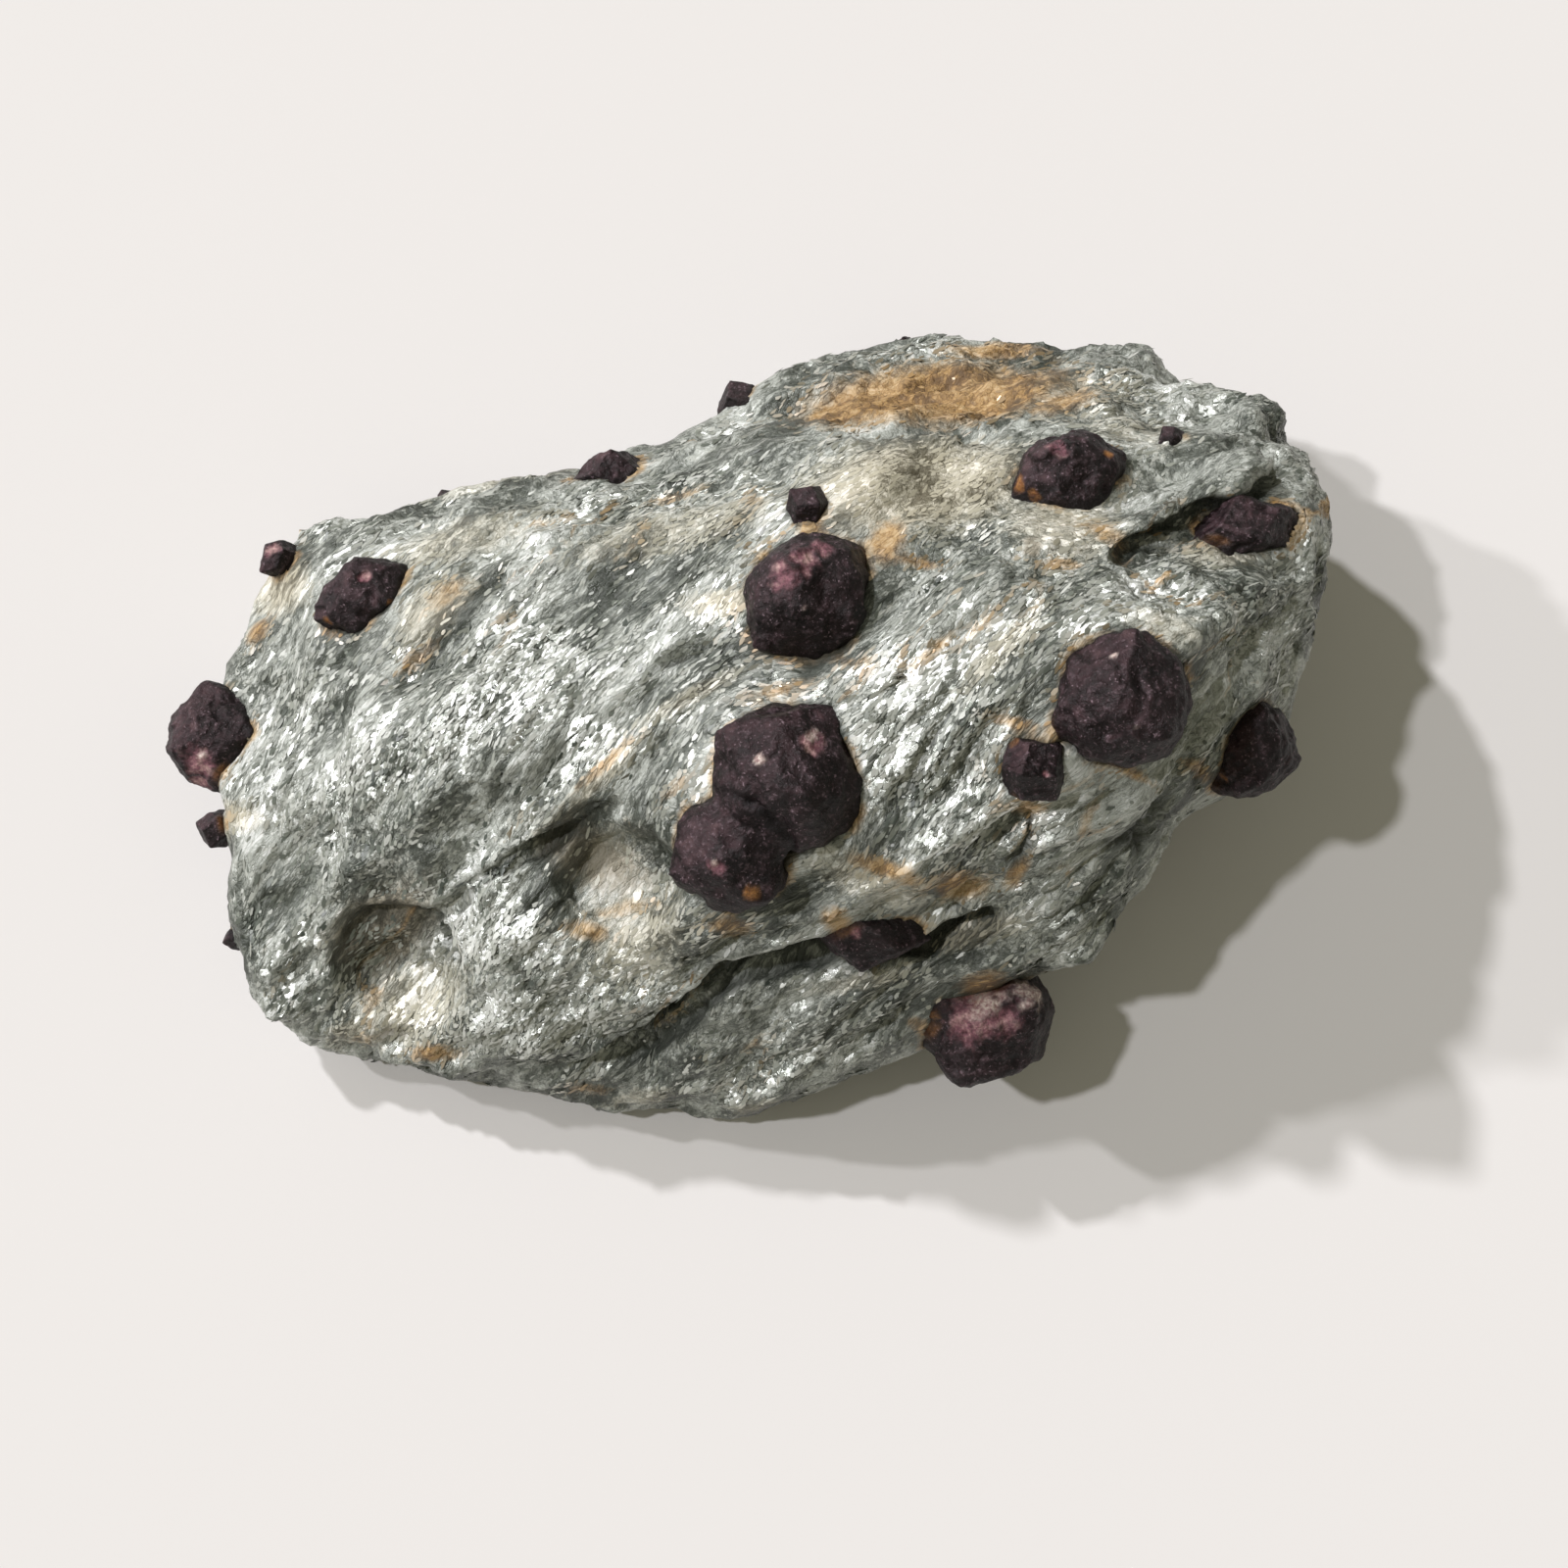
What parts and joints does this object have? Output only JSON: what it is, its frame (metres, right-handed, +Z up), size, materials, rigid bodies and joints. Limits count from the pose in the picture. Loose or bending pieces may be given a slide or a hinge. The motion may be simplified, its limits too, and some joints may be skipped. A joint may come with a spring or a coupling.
{
  "type": "garnet mica schist specimen",
  "caption": "Hand specimen of silvery green mica schist with dark garnet crystals set in it, lying on a flat cleavage face.",
  "frame": {"origin": "on the surface that the stone rests on, under the middle of its bounding box", "axes": "+X along the stone's length towards its thick end, +Z up through its thickness, +Y towards the back"},
  "size_m": [0.1104, 0.073, 0.0442],
  "materials": {
    "schist": "silvery green chlorite and mica flakes with a satin sparkle and rusty patches",
    "garnet": "dark purple-brown almandine, matt to waxy, with pink chips"
  },
  "bodies": {
    "root": {"schist": "schist", "garnet_left_edge": "garnet", "garnet_left_chip": "garnet", "garnet_left_speck": "garnet", "garnet_corner": "garnet", "garnet_upper_left": "garnet", "garnet_back_edge": "garnet", "garnet_back_rim": "garnet", "garnet_small_centre": "garnet", "garnet_centre": "garnet", "garnet_pair": "garnet", "garnet_back_right": "garnet", "garnet_back_speck": "garnet", "garnet_crack": "garnet", "garnet_right": "garnet", "garnet_right_small": "garnet", "garnet_right_edge": "garnet", "garnet_front": "garnet", "garnet_front_edge": "garnet", "garnet_back_wall": "garnet", "garnet_back_left": "garnet", "garnet_right_wall": "garnet", "garnet_under": "garnet"}
  },
  "joints": []
}
